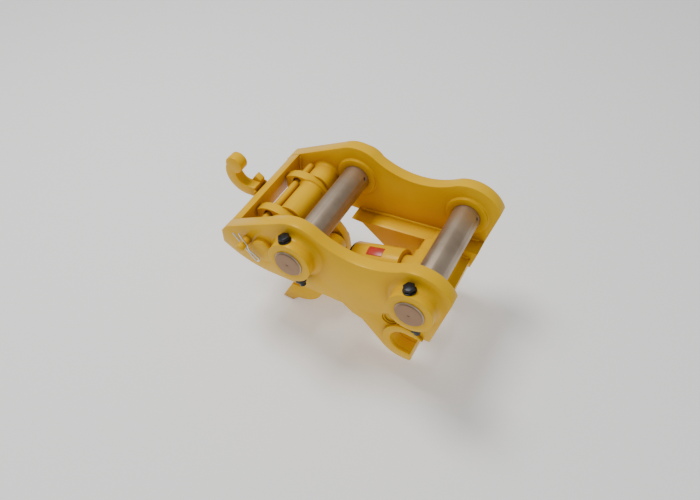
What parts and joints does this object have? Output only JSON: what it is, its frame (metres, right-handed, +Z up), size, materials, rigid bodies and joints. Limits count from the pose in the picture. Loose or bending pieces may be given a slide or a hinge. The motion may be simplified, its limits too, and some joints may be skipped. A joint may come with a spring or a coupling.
{
  "type": "quick coupler",
  "caption": "Hydraulic quick coupler for a compact excavator: yellow welded frame on two pins, a fixed jaw, a moving jaw worked by a cylinder, a lifting hook and a safety pin.",
  "frame": {"origin": "On the arm pin's axis, midway between the two side plates.", "axes": "+X from the link pin to the arm pin, +Y along the pins from the near plate to the far plate, +Z up with the jaws below the pins."},
  "size_m": [0.4335, 0.279, 0.2615],
  "materials": {
    "painted_steel": "semi-gloss machinery yellow over welded steel",
    "machined_pin": "turned and ground pin steel, oiled",
    "machined_steel": "turned steel",
    "black_steel": "black oxide fasteners",
    "bronze": "machined bronze bushes",
    "seal_rubber": "moulded seal rubber",
    "zinc_plated_steel": "bright zinc plate",
    "chromed_rod": "hard chrome",
    "red_label": "plain red adhesive label"
  },
  "bodies": {
    "frame": {"side_plate_near": "painted_steel", "side_plate_far": "painted_steel", "front_cross_bar": "painted_steel", "lifting_hook": "painted_steel", "hook_gusset": "painted_steel", "jaw_plate_near": "painted_steel", "jaw_plate_far": "painted_steel", "seat_ring_near": "painted_steel", "seat_ring_far": "painted_steel", "rear_cross_plate": "painted_steel", "outer_bosses_near": "painted_steel", "outer_bosses_far": "painted_steel", "inner_pads_near": "painted_steel", "inner_pads_far": "painted_steel", "link_pin": "machined_pin", "arm_pin": "machined_pin", "retaining_bolts": "black_steel", "bolt_washers": "black_steel", "retaining_nuts": "black_steel", "jaw_pivot_pin": "machined_steel", "pivot_caps": "painted_steel", "pivot_spacers": "painted_steel", "cylinder_rear_pin": "painted_steel", "rear_pin_rings": "painted_steel", "rear_pin_spacers": "painted_steel", "grease_nipples": "zinc_plated_steel"},
    "moving_jaw": {"jaw_cheek_near": "painted_steel", "jaw_cheek_far": "painted_steel", "jaw_hub": "painted_steel", "jaw_hub_bushes": "bronze", "jaw_cross_web": "painted_steel", "rod_pin": "machined_steel", "rod_pin_rings": "black_steel"},
    "cylinder": {"cylinder_barrel": "painted_steel", "cylinder_end_eye": "painted_steel", "end_eye_bush": "bronze", "cylinder_gland": "black_steel", "rod_wiper": "seal_rubber", "lock_valve_block": "painted_steel", "valve_cartridge": "black_steel", "label_plate": "red_label"},
    "ram_rod": {"piston_rod": "chromed_rod", "piston": "machined_steel", "piston_seal": "seal_rubber", "rod_eye": "painted_steel", "rod_eye_bush": "bronze"},
    "safety_pin": {"safety_pin": "painted_steel"},
    "safety_clip": {"safety_pin_clip": "zinc_plated_steel"}
  },
  "joints": [
    {"name": "jaw_swing", "type": "hinge", "parent": "frame", "child": "moving_jaw", "pos_m": [-0.251, 0, -0.021], "axis": [0, -1, 0], "range_deg": [-4, 15]},
    {"name": "cylinder_swing", "type": "hinge", "parent": "frame", "child": "cylinder", "pos_m": [-0.038, 0, -0.0635], "axis": [0, -1, 0], "range_deg": [-3.05, 0.81]},
    {"name": "rod_slide", "type": "slide", "parent": "cylinder", "child": "ram_rod", "axis": [-0.9625, 0, -0.2713], "range_m": [-0.02475, 0.0066]},
    {"name": "safety_pin_slide", "type": "slide", "parent": "frame", "child": "safety_pin", "axis": [0, 1, 0], "range_m": [0, 0.004]},
    {"name": "clip_pull", "type": "slide", "parent": "safety_pin", "child": "safety_clip", "axis": [0.6428, 0, -0.766], "range_m": [0, 0.06]}
  ],
  "couplings": [
    {"joint": "cylinder_swing", "follows": "jaw_swing", "ratio": -0.2035},
    {"joint": "rod_slide", "follows": "jaw_swing", "m_per_rad": -0.094554}
  ]
}
